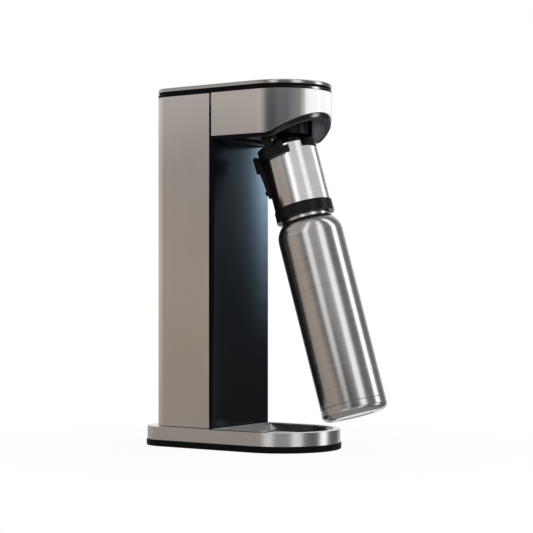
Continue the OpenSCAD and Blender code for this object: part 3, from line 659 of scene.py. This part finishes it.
sheetLooks = {  # white sheets beside the head
    "sheetFade": {"azimuth": -106, "reach": 2.4, "low": 0.2, "high": 1.3, "width": 0.75, "glow": 0.11},
    "sheetDim": {"azimuth": -52, "reach": 2.4, "low": 0.2, "high": 1.3, "width": 1.7, "glow": 0.07,
                 "colour": (0.85, 0.95, 1.15)},
    "sheetEdge": {"azimuth": -7, "reach": 2.4, "low": 0.2, "high": 1.3, "width": 0.5, "glow": 0.35},
    "sheetNear": {"azimuth": 17, "reach": 2.3, "low": 0.2, "high": 1.2, "width": 1.6, "glow": 1.3},
    "sheetFar": {"azimuth": 65, "reach": 2.6, "low": 0.2, "high": 1.3, "width": 3.0, "glow": 1.3},
}
for name, look in sheetLooks.items():
    areaLamp(name, look, only=[soft["head_skin"]])

cardLook = {"azimuth": 55.76, "reach": 0.6, "width": 0.40, "slide": 0.226, "colour": (0.62, 0.81, 1.0),
            "count": 10, "foot": 0.08, "step": 0.03, "top": 0.80, "brightest": 15.0, "fade": 2.3}
for k in range(cardLook["count"]):  # a card before the panel that fades downwards, in steps
    share = (k + 1) / cardLook["count"]
    low = cardLook["foot"] + cardLook["step"] * k
    high = low + cardLook["step"] if share < 1 else cardLook["top"]
    band = {**cardLook, "low": low, "high": high, "glow": cardLook["brightest"] * share ** cardLook["fade"]}
    areaLamp("panelCard%d" % k, band, only=[soft["front_panel"]])

edgeLook = {"azimuth": 55.76, "reach": 0.6, "low": -0.1, "high": 0.6, "width": 0.2, "slide": -0.165,
            "glow": 1.0, "colour": (0.92, 0.94, 1.0)}
areaLamp("panelEdge", edgeLook, only=[soft["front_panel"]])
glintLook = {"azimuth": 26, "reach": 2.3, "low": 0.3, "high": 1.3, "width": 0.7, "glow": 130.0}
areaLamp("noseGlint", glintLook, only=[trimRing, soft["soffit"]])
fillLook = {"azimuth": -56, "reach": 1.6, "low": -0.1, "high": 0.5, "width": 0.8, "glow": 20.0}
areaLamp("recessFill", fillLook, only=[soft["recess_liner"], soft["soffit"]])


def mirrorsOnly(card):
    card.visible_camera = card.visible_diffuse = card.visible_shadow = card.visible_transmission = False


flagLook = {"outer": -0.108, "inner": -0.0575, "y": 0.009, "low": 0.03, "high": 0.285, "solid": 0.02}


# black wing beside the column: only mirrors see it, and it fades outwards
def sideFlag(look):
    deselectAll()
    middle = ((look["outer"] + look["inner"]) / 2, look["y"], (look["low"] + look["high"]) / 2)
    bpy.ops.mesh.primitive_plane_add(size=1, location=middle, rotation=(math.pi / 2, 0, 0))
    flag = bpy.context.object
    flag.name = "sideFlag"
    flag.scale = (look["inner"] - look["outer"], look["high"] - look["low"], 1)
    settle()
    material, place = startMaterial("flagCloth")
    share = place.along("X").eased(look["outer"], look["inner"] - look["solid"])
    clear = place.node("ShaderNodeBsdfTransparent")
    cloth = place.node("ShaderNodeBsdfDiffuse", None, {"Color": (0.002, 0.002, 0.002, 1)})
    showSurface(place, place.node("ShaderNodeMixShader", None, {0: share, 1: clear, 2: cloth}))
    flag.data.materials.append(material)
    mirrorsOnly(flag)


sideFlag(flagLook)

wallLook = {  # ranges are azimuths in degrees or heights in metres, over which a tone comes or goes
    "radius": 3.0, "low": -3.0, "high": 6.0, "rearFrom": (132, 158), "leftUntil": (-112, -84),
    "whiteFrom": (72, 112), "backUntil": (-178, -140), "backRise": (-0.6, 0.3), "backGlow": 0.36,
    "leftGrey": 0.33, "leftBands": [(-0.32, -0.05, 0.035), (0.05, 0.3, 0.03), (0.42, 0.54, -0.12),
                                    (0.60, 0.76, 0.39), (0.80, 1.2, -0.28)],  # from, to, lighter by
    "gap": 0.40, "gapFade": (-40, 5), "gapDrop": 0.24, "gapFoot": (-0.1, 0.1), "gapFootDrop": 0.03,
    "flag": 0.03, "flagRise": (-0.02, 0.15), "flagTop": (0.85, 1.0), "flagLeft": (-116, -84),
    "flagRight": (-46, -14), "stripFoot": (-0.8, -0.55), "stripTop": (-0.08, 0.12), "stripFade": 7,
    "strips": [(-84, 13, 0.72), (-28, 14, 0.88), (31, 13, 1.75)],  # azimuth, half width, glow
    "under": 0.28, "underUntil": (-2.4, -1.0), "warmRise": (0.0, 0.75), "warmFrom": (-0.28, -0.17),
    "plain": (1, 1, 1, 1), "warmFoot": (1.06, 1.0, 0.975, 1), "warmLow": (1.20, 1.0, 0.82, 1),
    "warmHigh": (1.09, 1.0, 0.955, 1),
}


# card wall round the set, seen only in reflections: grey at the left, dark by the camera, white behind
def cardWall(look):
    deselectAll()
    bpy.ops.mesh.primitive_cylinder_add(
        vertices=96, radius=look["radius"], depth=look["high"] - look["low"], end_fill_type="NGON",
        location=(0, 0, (look["high"] + look["low"]) / 2))
    wall = bpy.context.object
    wall.name = "cardWall"
    settle()
    material, place = startMaterial("cardTones")
    turn = place.math("ARCTAN2", place.along("X"), place.along("Y") * -1.0) * (180 / math.pi)
    height = place.along("Z")
    rear = turn.eased(*look["rearFrom"])
    left = 1 - turn.eased(*look["leftUntil"]) + rear
    back = (1 - turn.eased(*look["backUntil"]) + rear) * height.eased(*look["backRise"]) * look["backGlow"]
    behind = turn.eased(*look["whiteFrom"]) * (1 - rear) + back
    leftTone = look["leftGrey"]
    for low, high, lighter in look["leftBands"]:
        leftTone = leftTone + height.eased(low, high) * lighter
    gapTone = look["gap"] - turn.eased(*look["gapFade"]) * look["gapDrop"]
    gapTone = gapTone - (1 - height.eased(*look["gapFoot"])) * look["gapFootDrop"]
    tone = left * leftTone + (1 - left) * gapTone
    flag = height.between(look["flagRise"], look["flagTop"])
    flag = flag * turn.between(look["flagLeft"], look["flagRight"])
    tone = flag * look["flag"] + (1 - flag) * tone
    foot, fade = height.between(look["stripFoot"], look["stripTop"]), look["stripFade"]
    for middle, half, glow in look["strips"]:  # the strips' lower ends
        low, high = middle - half, middle + half
        tone = tone + foot * turn.between((low, low + fade), (high - fade, high)) * glow
    tone = behind + (1 - behind) * tone
    deep = 1 - height.eased(*look["underUntil"])
    tone = deep * look["under"] + (1 - deep) * tone
    warmth = height.eased(*look["warmRise"]).blend(look["warmLow"], look["warmHigh"])
    warmth = height.eased(*look["warmFrom"]).blend(look["warmFoot"], warmth)
    colour = left.blend(look["plain"], warmth)
    showSurface(place, place.node("ShaderNodeEmission", None, {"Color": colour, "Strength": tone}))
    material.cycles.emission_sampling = "NONE"
    wall.data.materials.append(material)
    mirrorsOnly(wall)


cardWall(wallLook)

floorLook = {"radius": 4.0, "z": -0.2 * mm, "lift": 0.95, "keep": 0.12, "fade": 0.45, "fibre": 220.0}


# pale paper, lifted to white for the camera away from the part
def paleFloor(look):
    deselectAll()
    bpy.ops.mesh.primitive_circle_add(vertices=96, radius=look["radius"], fill_type="NGON",
                                      location=(0, 0, look["z"]))
    sheet = bpy.context.object
    sheet.name = "paleFloor"
    settle()
    material, place = startMaterial("floorPaper")
    fibre = place.noise(look["fibre"], 3.0).eased(0.2, 0.8)
    paper = place.node("ShaderNodeBsdfDiffuse", None, {"Color": varied(fibre, (1, 1, 1), 0.86, 0.9)})
    rays = place.node("ShaderNodeLightPath", out="Is Camera Ray")
    away = place.node("ShaderNodeVectorMath", {"operation": "LENGTH"}, {0: place}, out=1)
    share = rays * (look["lift"] + away.eased(look["keep"], look["fade"]) * (1 - look["lift"]))
    white = place.node("ShaderNodeEmission", None, {"Color": (1, 1, 1, 1), "Strength": 1.0})
    showSurface(place, place.node("ShaderNodeMixShader", None, {0: share, 1: paper, 2: white}))
    sheet.data.materials.append(material)
    sheet.visible_glossy = False


paleFloor(floorLook)

worldLook = {"soft": 0.55}


# white where it is seen or mirrored, softer as light
def studioWorld(look):
    world = bpy.data.worlds.new("studio")
    bpy.context.scene.world = world
    world.use_nodes = True
    world.node_tree.nodes.clear()
    place = Sock(world.node_tree)
    kinds = ("Is Camera Ray", "Is Glossy Ray", "Is Transmission Ray")
    direct, mirrored, through = [place.node("ShaderNodeLightPath", out=kind) for kind in kinds]
    seen = place.math("MINIMUM", direct + mirrored + through, 1.0)
    strength = look["soft"] + seen * (1 - look["soft"])
    glow = place.node("ShaderNodeBackground", None, {"Color": (1, 1, 1, 1), "Strength": strength})
    place.node("ShaderNodeOutputWorld", None, {"Surface": glow})


studioWorld(worldLook)

cameraLook = {"azimuth": -55.757, "reach": 1.830902, "height": 0.179009, "slide": 0.032906,
              "forward": 0.0145, "sensor": 36, "focal": 1550 / 533, "rise": 26.84 / 533}
away, toRight = facing(cameraLook["azimuth"])
stand = away * cameraLook["reach"] + toRight * cameraLook["slide"]
stand += Vector((0, cameraLook["forward"], cameraLook["height"]))
bpy.ops.object.camera_add(location=stand, rotation=(math.pi / 2, 0, math.radians(cameraLook["azimuth"])))
camera = bpy.context.object
camera.data.sensor_width = cameraLook["sensor"]
camera.data.lens = cameraLook["sensor"] * cameraLook["focal"]
camera.data.shift_y = cameraLook["rise"]
bpy.context.scene.camera = camera
bpy.context.scene.view_settings.view_transform = "Standard"
print("stage set")
